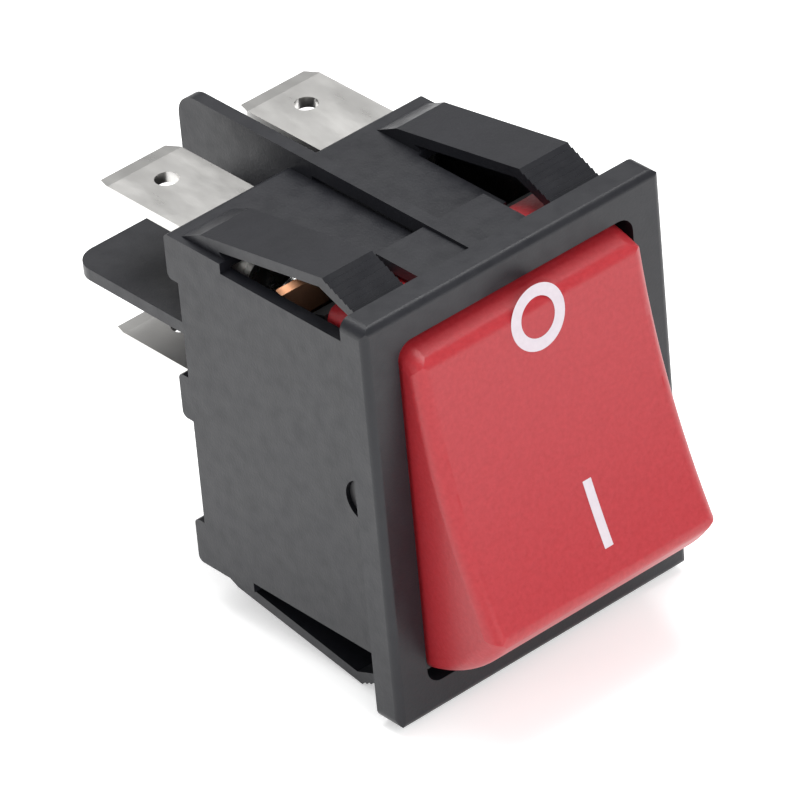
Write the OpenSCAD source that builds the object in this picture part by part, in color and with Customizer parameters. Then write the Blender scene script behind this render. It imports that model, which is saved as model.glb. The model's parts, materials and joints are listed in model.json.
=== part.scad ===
// Illuminated snap-in panel rocker switch, double pole, two blade tabs a pole.
// Millimetres. X runs across the switch, Y from the front into the panel, Z up.
// The origin is the centre of the panel cut-out on the rear face of the bezel.
// The rocker is drawn with its O end pressed in and both poles open.

/* [Bezel] */
// Width of the bezel
bezel_w = 25.2; // [24.2:0.1:28]
// Height of the bezel
bezel_h = 30.6; // [30.2:0.1:34]
// Thickness of the bezel in front of the panel
bezel_t = 2.25; // [1.8:0.05:3]
// Radius of the bezel's four corners
bezel_corner_r = 0.8; // [0.3:0.1:1.2]
// Radius of the bezel's front edges
bezel_edge_r = 0.5; // [0.2:0.05:0.8]

/* [Housing] */
// Width of the housing behind the panel
body_w = 21.9; // [21.4:0.1:22.6]
// Height of the housing behind the panel
body_h = 25.5; // [25.2:0.1:26.4]
// Depth of the housing behind the panel
body_d = 18.1; // [17.6:0.1:22]
// Thickness of the side walls
side_wall = 0.95; // [0.8:0.05:1.1]
// Thickness of the wall that carries the tabs
rear_wall = 1.5; // [1:0.1:2]
// Thickness of the two end walls
end_wall = 0.62; // [0.5:0.02:0.8]
// How far the end walls step down where the clips flex
notch_step = 0.75; // [0.5:0.05:1.2]
// Depth of the notch that frees each clip
notch_d = 13.6; // [12:0.1:14.5]
// How far the ridges round the tabs stand out of the rear wall
ridge_d = 1; // [0.6:0.1:1.4]
// Height of each ridge
ridge_h = 3.4; // [2.4:0.1:4.4]
// Width of the bulge in each end wall behind the bezel
bulge_w = 9.2; // [7:0.1:10.4]
// How far each bulge stands out of the end wall
bulge_rise = 1.1; // [0.9:0.05:1.4]
// Depth of each bulge
bulge_d = 5.7; // [5.5:0.1:7]

/* [Barriers] */
// Thickness of the upright barrier between the poles
rib_t = 1; // [0.8:0.05:1.4]
// How far the upright barrier stands out of the end walls
rib_rise = 1.35; // [1.25:0.05:1.8]
// How far the upright barrier reaches behind the panel
rib_d = 29.8; // [29:0.1:34]
// Thickness of the level barrier between the tabs of a pole
shelf_t = 0.9; // [0.7:0.05:1.2]
// Height of the level barrier's underside above the centre
shelf_z = 5.4; // [4.6:0.1:6]
// How far the level barrier reaches behind the panel
shelf_d = 29.3; // [28.5:0.1:33]
// Radius of the barriers' rear corners
barrier_r = 1.8; // [0.8:0.1:2.5]

/* [Clips] */
// Width of each clip
clip_w = 4.2; // [3.4:0.1:4.6]
// Distance from the housing's side to the side of the clip
clip_inset = 0.5; // [0.3:0.05:0.8]
// Thickness of the clip's arm
clip_t = 0.8; // [0.6:0.05:1]
// Distance of the clip's root behind the panel
clip_root_y = 15.9; // [15:0.1:17]
// Height of the clip at its root above the housing's end
clip_root_h = 0.95; // [0.8:0.05:1.2]
// Distance of the clip's crest behind the panel
clip_crest_y = 3.95; // [3.6:0.05:4.4]
// Height of the clip's crest above the housing's end
clip_crest_h = 2.9; // [2.6:0.05:3.1]
// Slope of the serrated ramp in degrees
ramp_angle = 24.5; // [20:0.5:28]
// Gap between the tip of the ramp and the bezel
ramp_gap = 0.45; // [0.3:0.05:0.7]
// Number of teeth on each ramp
teeth = 8; // [5:1:10]
// Depth of the teeth
tooth_d = 0.13; // [0.08:0.01:0.18]

/* [Rocker] */
// Width of the opening in the bezel
opening_w = 20; // [19.9:0.1:20.2]
// Height of the opening in the bezel
opening_h = 26.1; // [26:0.1:26.4]
// Radius of the opening's corners
opening_r = 1.2; // [0.8:0.1:1.6]
// Clearance between the rocker and the opening on each side
rocker_gap = 0.3; // [0.2:0.05:0.4]
// Clearance between the rocker's round ends and the opening
rocker_end_gap = 0.2; // [0.12:0.02:0.3]
// Distance of the rocker's pivot behind the panel
pivot_y = 1.55; // [1.4:0.05:1.7]
// Diameter of the pivot pins
pin_d = 2.9; // [2.4:0.1:3.1]
// Radial clearance of the pivot pins in their holes
pin_fit = 0.05; // [0.02:0.01:0.08]
// Swing of the rocker to each side of its middle in degrees
rocker_swing = 16; // [14:0.5:17]
// Distance from the pivot to the middle of the rocker's face
face_d = 7.4; // [7:0.1:7.8]
// Radius of the rocker's hollow face
face_r = 58; // [50:1:80]
// Thickness of the red lens
lens_t = 1.3; // [1:0.05:1.4]
// Radius of the lens's edges
lens_edge_r = 1; // [0.6:0.05:1.2]
// Thickness of the light diffuser
diffuser_t = 0.8; // [0.6:0.05:0.9]

/* [Contacts] */
// Distance from the middle of the switch to the middle of each pole
pole_x = 6; // [5.9:0.05:6.1]
// Width of the blade tabs
tab_w = 6.3; // [4.8:0.1:6.5]
// Thickness of the blade tabs
tab_t = 0.8; // [0.6:0.05:0.9]
// Distance of the tabs' ends behind the panel
tab_end_y = 28; // [27:0.1:29]
// Diameter of the hole in each tab
tab_hole_d = 1.65; // [1.2:0.05:2]
// Distance from a tab's end to its hole
tab_hole_in = 3.4; // [3:0.1:4]
// Distance from the housing's end to the middle of the switched tabs
switched_in = 1.05; // [1:0.05:1.5]
// Height of the common tabs above the centre
common_z = 0.35; // [0:0.05:0.5]
// Distance of the contact lever's fulcrum behind the panel
fulcrum_y = 12.95; // [12.8:0.05:13.1]
// Tilt of the contact lever to each side in degrees
lever_swing = 9; // [8.5:0.25:9.5]
// Thickness of the contact lever
lever_t = 0.6; // [0.5:0.05:0.65]
// Width of the contact lever
lever_w = 4.6; // [3.6:0.1:5]
// Height of the contact pair above the centre
contact_z = 8.6; // [8.3:0.1:8.8]
// Diameter of the moving contact
contact_d = 3; // [2.4:0.1:3.2]
// Gap between the closed contacts' faces
contact_gap = 0.05; // [0.03:0.01:0.1]
// Radius of the plunger's tip
tip_r = 1; // [0.9:0.05:1.05]
// Diameter of the plunger's guide
plunger_d = 3.2; // [2.8:0.1:3.3]
// Wire diameter of the plunger's spring
spring_wire = 0.36; // [0.3:0.02:0.4]

/* [Lamp] */
// Diameter of the neon lamp
lamp_d = 4.6; // [4:0.1:4.8]
// Length of the neon lamp
lamp_l = 12; // [10:0.5:13]
// Wall of the neon lamp's glass
lamp_wall = 0.4; // [0.3:0.05:0.5]
// Diameter of the lamp's leads
lead_d = 0.5; // [0.4:0.05:0.6]
// Diameter of the resistor
resistor_d = 1.8; // [1.5:0.1:2.2]
// Length of the resistor
resistor_l = 3.4; // [3:0.1:3.8]

/* [Hidden] */

$fn = 64;
eps = 0.01;                                   // overrun of a cut past the face that it opens
fit = 0.05;                                   // clearance of pieces that slide together or seat in a slot
seat = 0.05;                                  // gap between curved faces that lie on each other

cavity_w = body_w - 2 * side_wall;
cavity_h = body_h - 2 * end_wall;
cavity_d = body_d - rear_wall;
end_z = body_h / 2;
notch_z = end_z - notch_step;
switched_z = end_z - switched_in;
partition_y = 8.8;
rear_y = body_d + ridge_d;
bulge_wall = bulge_d - 0.5;                   // depth of the pocket behind the bezel
clip_x = body_w / 2 - clip_inset - clip_w / 2;

rocker_w = opening_w - 2 * rocker_gap;
rocker_r = opening_h / 2 - rocker_end_gap;
face_axis = face_d + face_r;                  // distance from the pivot to the axis of the hollow face
inner_w = rocker_w - 2 * lens_t;
inner_r = rocker_r - lens_t;
inner_edge_r = 0.3;
flange_t = 1.5;                               // carrier flange that the lens stands on
flange_step = 0.35;                           // how far the lens's ends overhang the flange
floor_t = 1.1;                                // carrier floor
carrier_wall = 1;

bore_d = plunger_d + 2 * fit;
tube_d = bore_d + 1.3;
tube_top = -4.2;                              // closed end of the plunger tubes, from the pivot
tube_roof = 0.8;
tube_end = 6.2;
guide_start = 2;
guide_end = 6.8;
trough_z = 0.05;                              // middle of the lever's trough above the fulcrum line
trough_r = 4.75;                              // front radius of the lever's trough
trough_angle = 40;
groove = 0.2;                                 // distance from the fulcrum's axis to the back of the lever
knife_r = tab_t / 2;
tip_clear = 0.08;                             // gap between the plunger's tip and the lever
tip_l = fulcrum_y - pivot_y - groove - lever_t - tip_r - tip_clear;

foot_y = cavity_d - tab_t;                    // front face of the switched tab's foot
fixed_h = 0.55;
fixed_d = contact_d + 0.2;
button_h = 0.5;
contact_face_y = foot_y - fixed_h - contact_gap;

lamp_y = -2.6;
lamp_z = 1.5;                                 // middle of the lamp, from the pivot
lead_x = 0.8;
lead_drop = 1.5;

// ---- shared shapes ----

// A profile drawn with Y to the right and Z up, drawn out along X from x by w
module across(x, w) translate([x, 0, 0]) rotate([90, 0, 90]) linear_extrude(w) children();

// A profile drawn with X to the right and Z up, drawn out along Y from y by d
module inward(y, d) translate([0, y + d, 0]) rotate([90, 0, 0]) linear_extrude(d) children();

module rounded(w, h, r) {
    square([w - 2 * r, h], center = true);
    square([w, h - 2 * r], center = true);
    for (x = [-1, 1], y = [-1, 1])
        translate([x * (w / 2 - r), y * (h / 2 - r)])
            circle(r);
}

module both_ends() {
    children();
    mirror([0, 0, 1]) children();
}

module both_sides() {
    children();
    mirror([1, 0, 0]) children();
}

// A strip of sheet seen edge on, along straight runs from point to point
module strip(points, t) {
    for (i = [0 : len(points) - 2]) {
        a = points[i];
        b = points[i + 1];
        translate(a)
            rotate(atan2(b[1] - a[1], b[0] - a[0]))
                translate([0, -t / 2])
                    square([norm(b - a), t]);
    }
    for (i = [1 : len(points) - 2])
        translate(points[i])
            circle(d = t);
}

// A wire along straight runs from point to point
module wire(points, d) {
    for (i = [0 : len(points) - 2]) {
        a = points[i];
        b = points[i + 1];
        run = b - a;
        translate(a)
            rotate([0, acos(run[2] / norm(run)), atan2(run[1], run[0])])
                cylinder(h = norm(run), d = d);
    }
    for (i = [1 : len(points) - 2])
        translate(points[i])
            sphere(d = d);
}

// ---- housing ----

module bezel_blank() {
    intersection() {
        inward(-bezel_t, bezel_t) rounded(bezel_w, bezel_h, bezel_corner_r);
        across(-bezel_w / 2, bezel_w) bezel_section(bezel_h);
        rotate([0, -90, 0]) across(-bezel_h / 2, bezel_h) bezel_section(bezel_w);
    }
}

// The bezel cut across a span: square at the back, rounded at the front
module bezel_section(span) {
    r = bezel_edge_r;
    translate([-bezel_t + r, -span / 2])
        square([bezel_t - r, span]);
    translate([-bezel_t, -span / 2 + r])
        square([bezel_t, span - 2 * r]);
    for (side = [-1, 1])
        translate([-bezel_t + r, side * (span / 2 - r)])
            circle(r);
}

module body_blank() {
    difference() {
        translate([-body_w / 2, 0, -body_h / 2])
            cube([body_w, body_d, body_h]);
        both_ends() both_sides()
            translate([bulge_w / 2 + 1.4, -eps, notch_z])
                cube([body_w, notch_d + eps, body_h]);
    }
    both_ends()
        translate([-bulge_w / 2, 0, 0])
            cube([bulge_w, bulge_d, end_z + bulge_rise]);
}

// The ridge round a row of tabs, with its rear edges rounded
module ridge(z) {
    r = 0.45;
    across(-body_w / 2, body_w)
        translate([body_d, z]) {
            translate([-eps, -ridge_h / 2])
                square([ridge_d - r + eps, ridge_h]);
            translate([-eps, -ridge_h / 2 + r])
                square([ridge_d + eps, ridge_h - 2 * r]);
            for (side = [-1, 1])
                translate([ridge_d - r, side * (ridge_h / 2 - r)])
                    circle(r);
        }
}

module ridges() {
    z = end_z - ridge_h / 2;
    for (place = [z, common_z, -z])
        ridge(place);
}

module upright_barrier() {
    z = end_z + rib_rise;
    across(-rib_t / 2, rib_t) {
        translate([0, -z]) square([rib_d - barrier_r, 2 * z]);
        translate([0, -z + barrier_r]) square([rib_d, 2 * (z - barrier_r)]);
        for (side = [-1, 1])
            translate([rib_d - barrier_r, side * (z - barrier_r)])
                circle(barrier_r);
    }
}

module level_barrier() {
    w = body_w - 0.1;
    translate([0, 0, shelf_z])
        linear_extrude(shelf_t) {
            translate([-w / 2, cavity_d]) square([w, shelf_d - barrier_r - cavity_d]);
            translate([-w / 2 + barrier_r, cavity_d]) square([w - 2 * barrier_r, shelf_d - cavity_d]);
            for (side = [-1, 1])
                translate([side * (w / 2 - barrier_r), shelf_d - barrier_r])
                    circle(barrier_r);
        }
}

// The clip seen from the side: a root on the end wall, a long arm that rises
// towards the bezel, and a serrated ramp that falls to the panel
function ramp_point(s, lift) = [clip_crest_y - s * cos(ramp_angle) - lift * sin(ramp_angle),
                                end_z + clip_crest_h - s * sin(ramp_angle) + lift * cos(ramp_angle)];

module clip_profile() {
    end = end_z;
    ramp_l = (clip_crest_y - ramp_gap) / cos(ramp_angle);
    pitch = ramp_l / teeth;
    rise = atan2(clip_crest_h - clip_root_h, clip_root_y - clip_crest_y);
    under = clip_t / cos(rise);
    root_y = clip_root_y + 2;
    crown = concat([for (i = [0 : teeth - 1]) each [ramp_point(i * pitch, 0), ramp_point((i + 0.85) * pitch, -tooth_d)]],
                   [ramp_point(ramp_l, 0), ramp_point(ramp_l, -clip_t + tooth_d)]);
    polygon(concat([[root_y, end - eps], [clip_root_y, end + clip_root_h]], crown,
                   [[clip_crest_y + clip_t / 2, end + clip_crest_h - under],
                    [notch_d + 0.6, end + clip_root_h + tan(rise) * (clip_root_y - notch_d - 0.6) - under],
                    [notch_d, end - eps]]));
}

module clips() {
    both_ends() both_sides()
        across(clip_x - clip_w / 2, clip_w)
            clip_profile();
}

module inner_hollow() {
    inward(-bezel_t - eps, bezel_t + bulge_wall + eps)
        rounded(opening_w, opening_h, opening_r);
    translate([-cavity_w / 2, bulge_wall - eps, -cavity_h / 2])
        cube([cavity_w, cavity_d - bulge_wall + eps, cavity_h]);
}

module tab_slots() {
    w = tab_w + 2 * fit;
    t = tab_t + 2 * fit;
    for (x = [-pole_x, pole_x], z = [switched_z, common_z])
        translate([x - w / 2, cavity_d - eps, z - t / 2])
            cube([w, rear_y - cavity_d + 2 * eps, t]);
}

module pivot_holes() {
    rotate([0, 90, 0])
        translate([0, pivot_y, -body_w])
            cylinder(h = 2 * body_w, d = pin_d + 2 * pin_fit);
}

// The wall inside that keeps the two poles apart
module partition() {
    translate([-rib_t / 2, partition_y, -cavity_h / 2 - eps])
        cube([rib_t, cavity_d - partition_y + eps, cavity_h + 2 * eps]);
}

// The ribs that stop each open lever
module lever_stops() {
    for (x = [-pole_x, pole_x])
        translate([x - 1, stop_y, stop_z - 0.6])
            cube([2, cavity_d - stop_y + eps, 1.2]);
}

module housing() {
    color([0.10, 0.10, 0.11]) {
        difference() {
            union() {
                bezel_blank();
                body_blank();
                ridges();
                level_barrier();
                difference() {
                    upright_barrier();
                    translate([-rib_t, -eps, -opening_h / 2]) cube([2 * rib_t, cavity_d, opening_h]);
                }
                clips();
            }
            inner_hollow();
            tab_slots();
            pivot_holes();
        }
        partition();
        lever_stops();
    }
}

// ---- rocker ----

// The rocker's own frame: the pivot is its origin, and the O end is tilted in
module in_rocker() translate([0, pivot_y, 0]) rotate([-rocker_swing, 0, 0]) children();

// Everything behind the hollow face and between the sides, inset all round
module behind_face(inset, edge) {
    near = face_r + inset;
    far = face_r + 2 * rocker_r;
    w = rocker_w - 2 * inset;
    translate([0, -face_axis, 0])
        rotate([0, 90, 0])
            rotate_extrude($fn = 240) {
                translate([near + edge, -w / 2]) square([far - near - edge, w]);
                translate([near, -w / 2 + edge]) square([far - near, w - 2 * edge]);
                for (side = [-1, 1])
                    translate([near + edge, side * (w / 2 - edge)])
                        circle(edge);
            }
}

// The sliver that rounds the edge where the hollow face meets a round end
module edge_cut() {
    e = lens_edge_r;
    axis = [-face_axis, 0];
    from_pivot = rocker_r - e;
    from_axis = face_r + e;
    fy = (from_axis * from_axis - from_pivot * from_pivot - face_axis * face_axis) / (2 * face_axis);
    centre = [fy, sqrt(from_pivot * from_pivot - fy * fy)];
    on_end = centre * rocker_r / from_pivot;
    on_face = axis + (centre - axis) * face_r / from_axis;
    a0 = atan2(on_end[1] - centre[1], on_end[0] - centre[0]);
    a1 = atan2(on_face[1] - centre[1], on_face[0] - centre[0]);
    turn = (a1 < a0) ? a1 + 360 - a0 : a1 - a0;
    steps = 10;
    corner = centre + 2.2 * e * [cos(a0 + turn / 2), sin(a0 + turn / 2)];
    polygon(concat([for (i = [0 : steps]) centre + e * [cos(a0 + turn * i / steps), sin(a0 + turn * i / steps)]],
                   [corner]));
}

// A drum about the pivot's axis, with rounded rims
module drum(r, w, rim) {
    rotate([0, 90, 0])
        rotate_extrude($fn = 240) {
            translate([0, -w / 2]) square([r - rim, w]);
            translate([0, -w / 2 + rim]) square([r, w - 2 * rim]);
            for (side = [-1, 1])
                translate([r - rim, side * (w / 2 - rim)])
                    circle(rim);
        }
}

module rocker_lens() {
    color([0.72, 0.12, 0.16])
        in_rocker()
            difference() {
                intersection() {
                    behind_face(0, lens_edge_r);
                    drum(rocker_r, rocker_w, opening_r);
                    across(-rocker_w, 2 * rocker_w)
                        difference() {
                            translate([-2 * rocker_r, -2 * rocker_r]) square([2 * rocker_r, 4 * rocker_r]);
                            edge_cut();
                            mirror([0, 1]) edge_cut();
                        }
                }
                intersection() {
                    behind_face(lens_t, inner_edge_r);
                    drum(inner_r, inner_w, inner_edge_r);
                }
                pin_notches();
            }
}

// Half-round notches in the lens's sides that clear the pivot pins
module pin_notches() {
    rotate([0, 90, 0])
        translate([0, 0, -rocker_w])
            cylinder(h = 2 * rocker_w, d = pin_d + 0.3);
}

// The half-plane ahead of the pivot, behind an arc inset from the hollow face
module behind_arc(inset) {
    difference() {
        translate([-2 * rocker_r, -rocker_r]) square([2 * rocker_r, 2 * rocker_r]);
        translate([-face_axis, 0]) circle(face_r + inset, $fn = 360);
    }
}

module light_diffuser() {
    front = lens_t + seat;
    w = inner_w - 2 * (inner_edge_r + seat);
    color([0.95, 0.86, 0.84])
        in_rocker()
            across(-w / 2, w)
                intersection() {
                    difference() {
                        behind_arc(front);
                        behind_arc(front + diffuser_t);
                    }
                    circle(inner_r - inner_edge_r - seat, $fn = 240);
                }
}

module carrier_walls() {
    outer = inner_w - 0.2;
    round_end = inner_r - 0.1;
    difference() {
        across(-outer / 2, outer)
            intersection() {
                circle(round_end, $fn = 240);
                behind_arc(lens_t + diffuser_t + 2 * seat);
            }
        across(-outer / 2 + carrier_wall, outer - 2 * carrier_wall)
            circle(round_end - carrier_wall, $fn = 240);
    }
}

// The part of a disc that lies within a distance behind the pivot
module slab(r, depth) {
    intersection() {
        circle(r, $fn = 240);
        translate([0, -r]) square([depth, 2 * r]);
    }
}

module carrier_floor() {
    across(-rocker_w / 2, rocker_w) slab(rocker_r - flange_step, flange_t);
    across(-inner_w / 2, inner_w) slab(inner_r, flange_t + floor_t);
}

module plunger_tubes(d, from, to) {
    for (x = [-pole_x, pole_x])
        translate([x, from, 0])
            rotate([-90, 0, 0])
                cylinder(h = to - from, d = d);
}

module lamp_window() {
    inward(-eps, flange_t) square([2 * (pole_x - tube_d / 2) - 0.6, 2 * inner_r - 5], center = true);
}

module carrier_pins() {
    for (side = [-1, 1])
        translate([side > 0 ? inner_w / 2 - carrier_wall : -body_w / 2 + 0.3, 0, 0])
            rotate([0, 90, 0])
                cylinder(h = body_w / 2 - 0.3 - inner_w / 2 + carrier_wall, d = pin_d);
}

module rocker_carrier() {
    color([0.13, 0.12, 0.12])
        in_rocker()
            difference() {
                union() {
                    carrier_walls();
                    carrier_floor();
                    plunger_tubes(tube_d, tube_top, tube_end);
                    carrier_pins();
                }
                plunger_tubes(bore_d, tube_top + tube_roof, tube_end + eps);
                plunger_tubes(lead_d + 2 * fit, tube_top - eps, tube_top + tube_roof + eps);
                lamp_window();
            }
}

// ---- lamp ----

lamp_end = lamp_z - lamp_l / 2;
seal_l = 1.6;
lead_z = lamp_end - lead_drop;
lead_roof = tube_top - lead_d / 2 - 0.1;

module neon_glass() {
    r = lamp_d / 2;
    color([0.95, 0.75, 0.60, 0.6])
        in_rocker()
            translate([0, lamp_y, lamp_end])
                difference() {
                    union() {
                        cylinder(h = lamp_l - r, r = r);
                        translate([0, 0, lamp_l - r]) sphere(r);
                    }
                    translate([0, 0, seal_l]) cylinder(h = lamp_l - r - seal_l, r = r - lamp_wall);
                    translate([0, 0, lamp_l - r]) sphere(r - lamp_wall);
                    for (x = [-lead_x, lead_x])
                        translate([x, 0, -eps]) cylinder(h = seal_l + 2 * eps, d = lead_d + fit, $fn = 24);
                }
}

module electrode(side) {
    x = side * lead_x;
    translate([x, lamp_y, lamp_end + seal_l + fit])
        cylinder(h = lamp_l - lamp_d / 2 - seal_l - 1, d = 2 * lead_d);
    wire([[x, lamp_y, lamp_end + seal_l + 2 * fit], [x, lamp_y, lead_z]], lead_d);
}

module neon_electrode_left() {
    color([0.72, 0.70, 0.66])
        in_rocker() {
            electrode(-1);
            wire([[-lead_x, lamp_y, lamp_end], [-lead_x, lamp_y, lead_z], [-pole_x, lamp_y, lead_z],
                  [-pole_x, lead_roof, lead_z], [-pole_x, lead_roof, 0], [-pole_x, tube_top + tube_roof, 0]], lead_d);
        }
}

module neon_electrode_right() {
    color([0.72, 0.70, 0.66])
        in_rocker() electrode(1);
}

resistor_x = (lead_x + pole_x) / 2;

module resistor() {
    color([0.62, 0.70, 0.72])
        in_rocker()
            translate([resistor_x - resistor_l / 2, lamp_y, lead_z])
                rotate([0, 90, 0]) {
                    cylinder(h = resistor_l, d = resistor_d * 0.86);
                    for (z = [0, resistor_l * 0.72])
                        translate([0, 0, z]) cylinder(h = resistor_l * 0.28, d = resistor_d);
                }
}

module resistor_lead_inner() {
    color([0.72, 0.70, 0.66])
        in_rocker()
            wire([[lead_x + lead_d / 2, lamp_y, lead_z], [resistor_x - resistor_l / 2, lamp_y, lead_z]], lead_d);
}

module resistor_lead_outer() {
    color([0.72, 0.70, 0.66])
        in_rocker()
            wire([[resistor_x + resistor_l / 2, lamp_y, lead_z], [pole_x, lamp_y, lead_z], [pole_x, lead_roof, lead_z],
                  [pole_x, lead_roof, 0], [pole_x, tube_top + tube_roof, 0]], lead_d);
}

// ---- plungers and springs ----

module plunger(side) {
    tip_shank = 1.2;
    color([0.80, 0.64, 0.32])
        in_rocker()
            translate([side * pole_x, 0, 0])
                rotate([-90, 0, 0])
                    rotate_extrude()
                        intersection() {
                            union() {
                                translate([0, guide_start]) square([plunger_d / 2, guide_end - guide_start]);
                                polygon([[0, guide_end - eps], [plunger_d / 2, guide_end - eps],
                                         [tip_r, guide_end + tip_shank], [tip_r, tip_l], [0, tip_l]]);
                                translate([0, tip_l]) circle(tip_r);
                            }
                            square([plunger_d, 2 * tip_l]);
                        }
}

module plunger_left() plunger(-1);
module plunger_right() plunger(1);

// A close-ended compression spring swept along its helix
spring_turns = 6;
spring_sides = 8;
spring_rings = 14;
spring_r = bore_d / 2 - spring_wire / 2 - 0.12;
spring_from = tube_top + tube_roof + spring_wire / 2;
spring_to = guide_start - spring_wire / 2;

function coil_angle(i) = 360 * i / spring_rings;
function coil_rise(i, n) = spring_from + (spring_to - spring_from) * max(0, min(1, (i - spring_rings / 2) / (n - spring_rings)));
function coil_point(i, n, s) =
    let (a = coil_angle(i), b = 360 * s / spring_sides, r = spring_r + spring_wire / 2 * cos(b))
        [r * cos(a), coil_rise(i, n) + spring_wire / 2 * sin(b), r * sin(a)];

module spring(side) {
    n = spring_turns * spring_rings;
    k = spring_sides;
    points = [for (i = [0 : n], s = [0 : k - 1]) coil_point(i, n, s)];
    walls = [for (i = [0 : n - 1], s = [0 : k - 1])
             [i * k + s, (i + 1) * k + s, (i + 1) * k + (s + 1) % k, i * k + (s + 1) % k]];
    color([0.70, 0.71, 0.73])
        in_rocker()
            translate([side * pole_x, 0, 0])
                polyhedron(points, concat(walls, [[for (s = [0 : k - 1]) s], [for (s = [k - 1 : -1 : 0]) n * k + s]]));
}

module plunger_spring_left() spring(-1);
module plunger_spring_right() spring(1);

// ---- contact levers and tabs ----

// The lever's own frame: the fulcrum is its origin, and the open lever is tilted
module in_lever() translate([0, fulcrum_y, common_z]) rotate([lever_swing, 0, 0]) children();

// Where a point of the closed lever lies in the lever's own frame
function closed(y, z) = let (dy = y - fulcrum_y, dz = z - common_z)
    [dy * cos(lever_swing) - dz * sin(lever_swing), dy * sin(lever_swing) + dz * cos(lever_swing)];

pad_in = closed(contact_face_y - button_h - lever_t / 2, contact_z - contact_d / 2 - 0.1);
pad_out = closed(contact_face_y - button_h - lever_t / 2, contact_z + contact_d / 2 + 0.2);
trough_c = [-groove - lever_t - trough_r, trough_z - 0.35];
trough_mid = trough_r + lever_t / 2;
trough_up = trough_c + trough_mid * [cos(trough_angle), sin(trough_angle)];
trough_down = trough_c + trough_mid * [cos(trough_angle), -sin(trough_angle)];
tail = [-1.0, -5.6];
stop_z = common_z + tail[1] * cos(lever_swing) + 0.5;
stop_y = fulcrum_y + tail[0] * cos(lever_swing) - tail[1] * sin(lever_swing) + lever_t / 2 + 0.15;

module lever_profile() {
    difference() {
        translate(trough_c)
            difference() {
                circle(trough_r + lever_t, $fn = 180);
                circle(trough_r, $fn = 180);
                for (side = [-1, 1])
                    rotate(side * trough_angle)
                        translate([-2 * trough_r, side > 0 ? 0 : -2 * trough_r])
                            square([4 * trough_r, 2 * trough_r]);
                translate([-3 * trough_r, -2 * trough_r])
                    square([3 * trough_r, 4 * trough_r]);
            }
        circle(knife_r + fit);
    }
    translate(trough_up) circle(d = lever_t);
    translate(trough_down) circle(d = lever_t);
    strip([trough_up, pad_in, pad_out], lever_t);
    strip([trough_down, tail], lever_t);
}

module contact_lever(side) {
    color([0.78, 0.47, 0.30])
        in_lever()
            across(side * pole_x - lever_w / 2, lever_w) lever_profile();
}

module contact_lever_left() contact_lever(-1);
module contact_lever_right() contact_lever(1);

module lever_contact(side) {
    back = closed(contact_face_y - button_h, contact_z);
    color([0.86, 0.86, 0.88])
        in_lever()
            translate([side * pole_x, back[0], back[1]])
                rotate([-90 + lever_swing, 0, 0])
                    cylinder(h = button_h, d = contact_d);
}

module lever_contact_left() lever_contact(-1);
module lever_contact_right() lever_contact(1);

// The free end of a blade tab: lead-in corners, bevelled faces and the hole
module blade(side, z, from) {
    corner = [0.4, 1.1];
    bevel = [0.2, 1.2];
    difference() {
        intersection() {
            translate([side * pole_x, 0, z - tab_t])
                linear_extrude(2 * tab_t)
                    polygon([[-tab_w / 2, from], [tab_w / 2, from], [tab_w / 2, tab_end_y - corner[1]],
                             [tab_w / 2 - corner[0], tab_end_y], [-tab_w / 2 + corner[0], tab_end_y],
                             [-tab_w / 2, tab_end_y - corner[1]]]);
            across(side * pole_x - tab_w, 2 * tab_w)
                translate([0, z])
                    polygon([[from, -tab_t / 2], [tab_end_y - bevel[1], -tab_t / 2], [tab_end_y, -tab_t / 2 + bevel[0]],
                             [tab_end_y, tab_t / 2 - bevel[0]], [tab_end_y - bevel[1], tab_t / 2], [from, tab_t / 2]]);
        }
        translate([side * pole_x, tab_end_y - tab_hole_in, z - tab_t])
            cylinder(h = 2 * tab_t, d = tab_hole_d);
    }
}

module common_terminal(side) {
    shoulder_w = tab_w + 1.2;
    shoulder_l = 1.6;
    color([0.78, 0.77, 0.74]) {
        blade(side, common_z, cavity_d - eps);
        translate([side * pole_x - shoulder_w / 2, cavity_d - shoulder_l, common_z - tab_t / 2])
            cube([shoulder_w, shoulder_l, tab_t]);
        across(side * pole_x - lever_w / 2, lever_w)
            strip([[fulcrum_y, common_z], [fulcrum_y, common_z] + [eps, 0], [cavity_d - shoulder_l + eps, common_z]], tab_t);
        across(side * pole_x - lever_w / 2, lever_w)
            translate([fulcrum_y, common_z]) circle(knife_r);
    }
}

module common_terminal_left() common_terminal(-1);
module common_terminal_right() common_terminal(1);

module switched_terminal(side) {
    foot_z = contact_z - fixed_d / 2 - 0.5;
    mid = foot_y + tab_t / 2;
    color([0.78, 0.77, 0.74]) {
        blade(side, switched_z, cavity_d - eps);
        across(side * pole_x - tab_w / 2, tab_w)
            strip([[cavity_d, switched_z], [mid, switched_z], [mid, foot_z]], tab_t);
    }
}

module switched_terminal_left() switched_terminal(-1);
module switched_terminal_right() switched_terminal(1);

module fixed_contact(side) {
    color([0.86, 0.86, 0.88])
        translate([side * pole_x, foot_y - fixed_h, contact_z])
            rotate([-90, 0, 0])
                cylinder(h = fixed_h, d = fixed_d);
}

module fixed_contact_left() fixed_contact(-1);
module fixed_contact_right() fixed_contact(1);

housing();
rocker_lens();
light_diffuser();
rocker_carrier();
neon_glass();
neon_electrode_left();
neon_electrode_right();
resistor();
resistor_lead_inner();
resistor_lead_outer();
plunger_left();
plunger_right();
plunger_spring_left();
plunger_spring_right();
contact_lever_left();
contact_lever_right();
lever_contact_left();
lever_contact_right();
common_terminal_left();
common_terminal_right();
switched_terminal_left();
switched_terminal_right();
fixed_contact_left();
fixed_contact_right();
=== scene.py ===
"""Looks for the illuminated panel rocker switch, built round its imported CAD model."""
import json
import math

import bmesh
import bpy
from mathutils import Matrix, Vector


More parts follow.
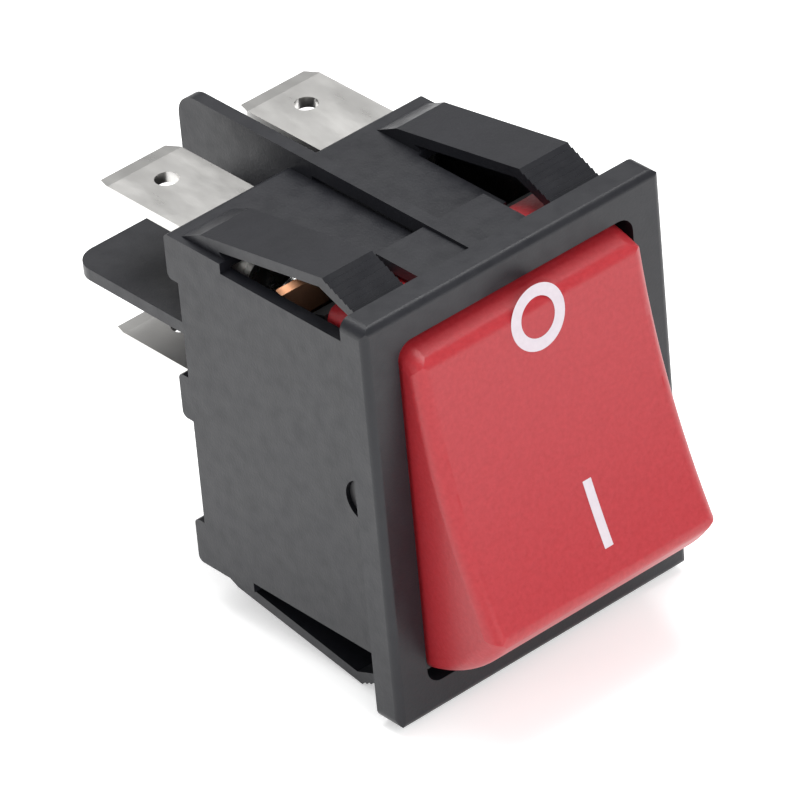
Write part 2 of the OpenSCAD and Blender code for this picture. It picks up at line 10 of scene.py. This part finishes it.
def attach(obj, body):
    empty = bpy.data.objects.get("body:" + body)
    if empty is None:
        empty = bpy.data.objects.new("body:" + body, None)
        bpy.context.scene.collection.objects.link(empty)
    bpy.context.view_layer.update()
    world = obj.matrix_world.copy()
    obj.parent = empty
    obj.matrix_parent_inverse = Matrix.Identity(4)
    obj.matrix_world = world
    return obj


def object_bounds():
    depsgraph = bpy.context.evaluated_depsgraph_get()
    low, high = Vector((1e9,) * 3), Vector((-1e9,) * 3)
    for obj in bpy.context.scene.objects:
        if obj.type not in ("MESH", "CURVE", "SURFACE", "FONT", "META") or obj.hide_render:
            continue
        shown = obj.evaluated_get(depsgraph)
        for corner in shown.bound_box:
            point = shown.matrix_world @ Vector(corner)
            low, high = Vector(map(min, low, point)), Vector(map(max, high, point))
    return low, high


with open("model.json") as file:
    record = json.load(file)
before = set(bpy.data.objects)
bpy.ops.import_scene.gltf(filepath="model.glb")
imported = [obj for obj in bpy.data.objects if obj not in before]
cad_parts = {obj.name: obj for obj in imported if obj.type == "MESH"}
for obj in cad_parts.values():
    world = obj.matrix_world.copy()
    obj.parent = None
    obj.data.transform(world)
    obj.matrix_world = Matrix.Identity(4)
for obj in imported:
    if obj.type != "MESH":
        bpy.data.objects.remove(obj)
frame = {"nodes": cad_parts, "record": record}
cad_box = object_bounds()

MM = 0.001

# The rocker's own frame: its pivot is the origin, and at rest its O end is tilted into the panel
PIVOT_Y = 1.55
ROCKER_SWING = 16
FACE_MID = 7.4          # distance from the pivot to the middle of the hollow face
FACE_R = 58
MARK_LIFT = 0.015       # print thickness

# The printed marks: places on the face and sizes, in millimetres
OFF_MARK = {"x": 0.3, "z": 8.9, "outer": 2.25, "inner": 1.4}
OFF_MARK_STEPS = 96
ON_MARK = {"x": 0.95, "low": -7.6, "high": -2.9, "width": 0.72}
ON_MARK_COLUMNS = 4
ON_MARK_ROWS = 16

# The stage, in metres, and how bright the floor and the world are
FLOOR_HALF = 1.5
FLOOR_GAP = 0.0001      # distance of the floor below the object
FLOOR_COLOR = (0.86, 0.86, 0.86, 1)
FLOOR_SHOWN = 0.45      # extra light of the floor that only the camera, gloss and glass see
WORLD_LIGHT = 0.42      # strength at which the world lights the object
WORLD_SHOWN = 1.0       # strength at which the camera and glass see the world
LAMP_AIM = Vector((0, 0.012, 0))

# name, azimuth, elevation, distance, size, power; azimuth 0 is in front of the bezel
LAMPS = (
    ("overhead", 150, 72, 0.9, 0.7, 9.0),
    ("front_fill", -10, 35, 1.0, 0.7, 5.0),
    ("left_fill", -95, 20, 1.0, 0.5, 1.5),
)

# The camera: its turns in degrees, its offsets and distance in millimetres, its lens and sensor in millimetres
CAMERA_TURNS = (-38.85, 33.93, -5.39)
CAMERA_RIGHT = -6.75
CAMERA_UP = 2.42
CAMERA_DISTANCE = 530.1
CAMERA_LENS = 374.9
CAMERA_SENSOR = 36
CAMERA_CLIP = (0.01, 20)


# ---- materials ----

class Nodes:
    """A material's node tree, with short calls for the nodes that the looks here use."""

    def __init__(self, name):
        self.mat = bpy.data.materials.new(name)
        self.mat.use_nodes = True
        self.tree = self.mat.node_tree
        self.bsdf = self.tree.nodes["Principled BSDF"]

    def add(self, kind, **settings):
        node = self.tree.nodes.new(kind)
        for key, value in settings.items():
            setattr(node, key, value)
        return node

    def link(self, a, b):
        self.tree.links.new(a, b)

    def set(self, node, **values):
        for key, value in values.items():
            node.inputs[key.replace("_", " ")].default_value = value

    def position(self):
        return self.add("ShaderNodeTexCoord").outputs["Object"]

    def scaled(self, vector, scale):
        node = self.add("ShaderNodeMapping")
        node.inputs["Scale"].default_value = scale
        self.link(vector, node.inputs["Vector"])
        return node.outputs["Vector"]

    def noise(self, vector, scale, detail=3.0, roughness=0.5):
        node = self.add("ShaderNodeTexNoise")
        self.set(node, Scale=scale, Detail=detail, Roughness=roughness)
        self.link(vector, node.inputs["Vector"])
        return node.outputs["Fac"]

    def range(self, value, a, b, c=0.0, d=1.0):
        node = self.add("ShaderNodeMapRange", clamp=True)
        for key, number in zip(("From Min", "From Max", "To Min", "To Max"), (a, b, c, d)):
            node.inputs[key].default_value = number
        self.link(value, node.inputs["Value"])
        return node.outputs["Result"]

    def math(self, operation, a, b=None):
        node = self.add("ShaderNodeMath", operation=operation)
        for socket, value in zip(node.inputs, (a, b)):
            if value is None:
                continue
            if isinstance(value, (int, float)):
                socket.default_value = value
            else:
                self.link(value, socket)
        return node.outputs["Value"]

    def mix(self, factor, a, b):
        node = self.add("ShaderNodeMix", data_type="RGBA")
        sockets = (node.inputs["Factor"], node.inputs[6], node.inputs[7])   # 6 and 7 are the colours A and B
        for socket, value in zip(sockets, (factor, a, b)):
            if isinstance(value, (int, float, tuple)):
                socket.default_value = value
            else:
                self.link(value, socket)
        return node.outputs[2]

    def base_color(self, factor, low, high):
        self.link(self.mix(factor, low, high), self.bsdf.inputs["Base Color"])

    def gloss(self, noise, low, high):
        """Roughness that follows a noise between two values."""
        self.link(self.range(noise, 0.3, 0.7, low, high), self.bsdf.inputs["Roughness"])

    def bump(self, height, strength, distance):
        node = self.add("ShaderNodeBump")
        self.set(node, Strength=strength, Distance=distance)
        self.link(height, node.inputs["Height"])
        self.link(node.outputs["Normal"], self.bsdf.inputs["Normal"])


def housing_material():
    """Black satin moulding with a fine spark-eroded grain."""
    n = Nodes("black_moulding")
    at = n.position()
    blotch = n.noise(at, 220, 4)
    n.base_color(blotch, (0.007, 0.0075, 0.010, 1), (0.013, 0.0135, 0.018, 1))
    n.gloss(n.noise(at, 900, 3), 0.34, 0.46)
    n.bsdf.inputs["Specular IOR Level"].default_value = 0.4
    n.bump(n.noise(at, 5200, 2), 0.25, 0.00004)
    return n.mat


def lens_material():
    """Translucent red moulding, finely grained."""
    n = Nodes("red_lens")
    at = n.position()
    grain = n.noise(at, 3000, 2, 0.6)
    n.base_color(grain, (0.36, 0.012, 0.020, 1), (0.50, 0.035, 0.045, 1))
    n.set(n.bsdf, Roughness=0.38)
    n.bsdf.inputs["Subsurface Weight"].default_value = 0.25
    n.bsdf.inputs["Subsurface Radius"].default_value = (1.0, 0.12, 0.10)
    n.bsdf.inputs["Subsurface Scale"].default_value = 0.0012
    n.bump(grain, 0.35, 0.00005)
    return n.mat


def print_material():
    """Pale print of the marks."""
    n = Nodes("mark_print")
    at = n.position()
    n.base_color(n.noise(at, 2500, 3), (0.62, 0.55, 0.60, 1), (0.74, 0.67, 0.72, 1))
    n.set(n.bsdf, Roughness=0.45)
    return n.mat


def metal_material(name, low, high, roughness, stretch=(1, 1, 1)):
    """Bare metal, slightly clouded; the clouds can be stretched along the strip."""
    n = Nodes(name)
    at = n.scaled(n.position(), stretch)
    cloud = n.noise(at, 350, 4, 0.6)
    n.base_color(cloud, low, high)
    n.bsdf.inputs["Metallic"].default_value = 1.0
    n.gloss(cloud, roughness - 0.05, roughness + 0.07)
    n.bump(n.noise(at, 1800, 3), 0.08, 0.00003)
    return n.mat


def plain_material(name, low, high, roughness):
    """Plain plastic or lacquer of slightly uneven colour."""
    n = Nodes(name)
    at = n.position()
    n.base_color(n.noise(at, 600, 3), low, high)
    n.gloss(n.noise(at, 1500, 2), roughness - 0.05, roughness + 0.05)
    return n.mat


def glass_material():
    """Clear glass of the lamp."""
    n = Nodes("lamp_glass")
    at = n.position()
    n.bsdf.inputs["Base Color"].default_value = (0.98, 0.90, 0.82, 1)
    n.gloss(n.noise(at, 800, 2), 0.02, 0.08)
    n.bsdf.inputs["Transmission Weight"].default_value = 0.9
    return n.mat


MATERIALS = {
    "housing": housing_material(),
    "lens": lens_material(),
    "diffuser": plain_material("milky_diffuser", (0.72, 0.62, 0.58, 1), (0.80, 0.70, 0.66, 1), 0.5),
    "carrier": plain_material("black_carrier", (0.010, 0.010, 0.011, 1), (0.018, 0.018, 0.020, 1), 0.42),
    "lamp_glass": glass_material(),
    "lead_wire": metal_material("lead_wire", (0.60, 0.58, 0.55, 1), (0.72, 0.70, 0.66, 1), 0.30),
    "resistor_body": plain_material("resistor_lacquer", (0.16, 0.32, 0.38, 1), (0.20, 0.38, 0.44, 1), 0.35),
    "plunger_brass": metal_material("turned_brass", (0.60, 0.42, 0.16, 1), (0.72, 0.53, 0.24, 1), 0.28),
    "spring_steel": metal_material("spring_wire", (0.46, 0.46, 0.47, 1), (0.58, 0.58, 0.60, 1), 0.30),
    "lever_copper": metal_material("lever_copper", (0.56, 0.27, 0.15, 1), (0.68, 0.35, 0.20, 1), 0.33),
    "contact_silver": metal_material("contact_silver", (0.76, 0.76, 0.75, 1), (0.86, 0.86, 0.84, 1), 0.25),
    "tab_tin": metal_material("tinned_tab", (0.62, 0.61, 0.59, 1), (0.74, 0.73, 0.71, 1), 0.30, (1, 0.35, 1)),
}

for part in frame["record"]["subparts"]:
    node = frame["nodes"][part["node"]]
    for material_slot in node.material_slots:
        material_slot.material = MATERIALS[part["material_slot"]]


# ---- marks printed on the rocker ----

def on_face(x, z, lift=MARK_LIFT):
    """A place on the hollow face, in the shared frame and metres, from x across and z along its chord."""
    y = -FACE_MID - FACE_R + math.sqrt(FACE_R ** 2 - z ** 2)
    local = Vector((x, y - lift, z))
    turned = Matrix.Rotation(math.radians(-ROCKER_SWING), 3, "X") @ local
    return (turned + Vector((0, PIVOT_Y, 0))) * MM


def mark(name, rings, closed):
    """A printed mark from rings of face places; each ring joins the next."""
    mesh = bmesh.new()
    rows = [[mesh.verts.new(on_face(x, z)) for x, z in ring] for ring in rings]
    for a, b in zip(rows, rows[1:]):
        last = len(a) if closed else len(a) - 1
        for i in range(last):
            j = (i + 1) % len(a)
            mesh.faces.new((a[i], a[j], b[j], b[i]))
    bmesh.ops.recalc_face_normals(mesh, faces=mesh.faces)
    data = bpy.data.meshes.new(name)
    mesh.to_mesh(data)
    mesh.free()
    piece = bpy.data.objects.new(name, data)
    bpy.context.scene.collection.objects.link(piece)
    data.materials.append(print_material())
    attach(piece, "rocker_body")
    return piece


def off_mark(x, z, outer, inner):
    steps = OFF_MARK_STEPS
    rings = [[(x + r * math.cos(2 * math.pi * i / steps), z + r * math.sin(2 * math.pi * i / steps))
              for i in range(steps)]
             for r in (inner, (inner + outer) / 2, outer)]
    return mark("off_mark", rings, True)


def on_mark(x, low, high, width):
    rings = [[(x - width / 2 + width * i / ON_MARK_COLUMNS, z) for i in range(ON_MARK_COLUMNS + 1)]
             for z in (low + (high - low) * k / ON_MARK_ROWS for k in range(ON_MARK_ROWS + 1))]
    return mark("on_mark", rings, False)


off_mark(**OFF_MARK)
on_mark(**ON_MARK)


# ---- stage, light and camera ----

def emitting_material(name, color, shown):
    """A surface lit as usual, with extra light that only the camera, gloss and glass see."""
    n = Nodes(name)
    n.bsdf.inputs["Base Color"].default_value = color
    n.set(n.bsdf, Roughness=0.9)
    rays = n.add("ShaderNodeLightPath")
    seen = n.math("MAXIMUM", rays.outputs["Is Camera Ray"], rays.outputs["Is Glossy Ray"])
    seen = n.math("MAXIMUM", seen, rays.outputs["Is Transmission Ray"])
    n.bsdf.inputs["Emission Color"].default_value = (1, 1, 1, 1)
    n.link(n.math("MULTIPLY", seen, shown), n.bsdf.inputs["Emission Strength"])
    return n.mat


def make_floor(z):
    half = FLOOR_HALF
    mesh = bmesh.new()
    outline = ((-half, -half), (half, -half), (half, half), (-half, half))
    corners = [mesh.verts.new((x, y, z)) for x, y in outline]
    mesh.faces.new(corners)
    data = bpy.data.meshes.new("floor")
    mesh.to_mesh(data)
    mesh.free()
    floor = bpy.data.objects.new("floor", data)
    bpy.context.scene.collection.objects.link(floor)
    data.materials.append(emitting_material("white_floor", FLOOR_COLOR, FLOOR_SHOWN))


def make_world():
    world = bpy.data.worlds.new("studio")
    bpy.context.scene.world = world
    world.use_nodes = True
    tree = world.node_tree
    background = tree.nodes["Background"]
    background.inputs["Color"].default_value = (1, 1, 1, 1)
    rays = tree.nodes.new("ShaderNodeLightPath")
    seen = tree.nodes.new("ShaderNodeMath")
    seen.operation = "MAXIMUM"
    tree.links.new(rays.outputs["Is Camera Ray"], seen.inputs[0])
    tree.links.new(rays.outputs["Is Transmission Ray"], seen.inputs[1])
    level = tree.nodes.new("ShaderNodeMapRange")
    level.inputs["To Min"].default_value = WORLD_LIGHT
    level.inputs["To Max"].default_value = WORLD_SHOWN
    tree.links.new(seen.outputs[0], level.inputs["Value"])
    tree.links.new(level.outputs["Result"], background.inputs["Strength"])


def area_light(name, azimuth, elevation, distance, size, power):
    """A soft white box aimed at the object; its azimuth turns the way the camera's does."""
    data = bpy.data.lights.new(name, "AREA")
    data.shape = "SQUARE"
    data.size = size
    data.energy = power
    lamp = bpy.data.objects.new(name, data)
    a, e = math.radians(azimuth), math.radians(elevation)
    back = Vector((math.sin(a) * math.cos(e), -math.cos(a) * math.cos(e), math.sin(e)))
    lamp.location = back * distance + LAMP_AIM
    lamp.rotation_euler = back.to_track_quat("Z", "Y").to_euler()
    bpy.context.scene.collection.objects.link(lamp)


def make_camera():
    azimuth, elevation, roll = (math.radians(turn) for turn in CAMERA_TURNS)
    back = Vector((math.sin(azimuth) * math.cos(elevation), -math.cos(azimuth) * math.cos(elevation),
                   math.sin(elevation)))
    right = Vector((math.cos(azimuth), math.sin(azimuth), 0))
    up = back.cross(right)
    turned_right = right * math.cos(roll) + up * math.sin(roll)
    turned_up = up * math.cos(roll) - right * math.sin(roll)
    data = bpy.data.cameras.new("camera")
    data.sensor_width = CAMERA_SENSOR
    data.lens = CAMERA_LENS
    data.clip_start, data.clip_end = CAMERA_CLIP
    camera = bpy.data.objects.new("camera", data)
    axes = Matrix((turned_right, turned_up, back)).transposed()
    place = (turned_right * CAMERA_RIGHT + turned_up * CAMERA_UP + back * CAMERA_DISTANCE) * MM
    camera.matrix_world = Matrix.Translation(place) @ axes.to_4x4()
    bpy.context.scene.collection.objects.link(camera)
    bpy.context.scene.camera = camera


make_floor(cad_box[0][2] - FLOOR_GAP)
make_world()
for lamp_row in LAMPS:
    area_light(*lamp_row)
make_camera()
bpy.context.scene.view_settings.view_transform = "Standard"
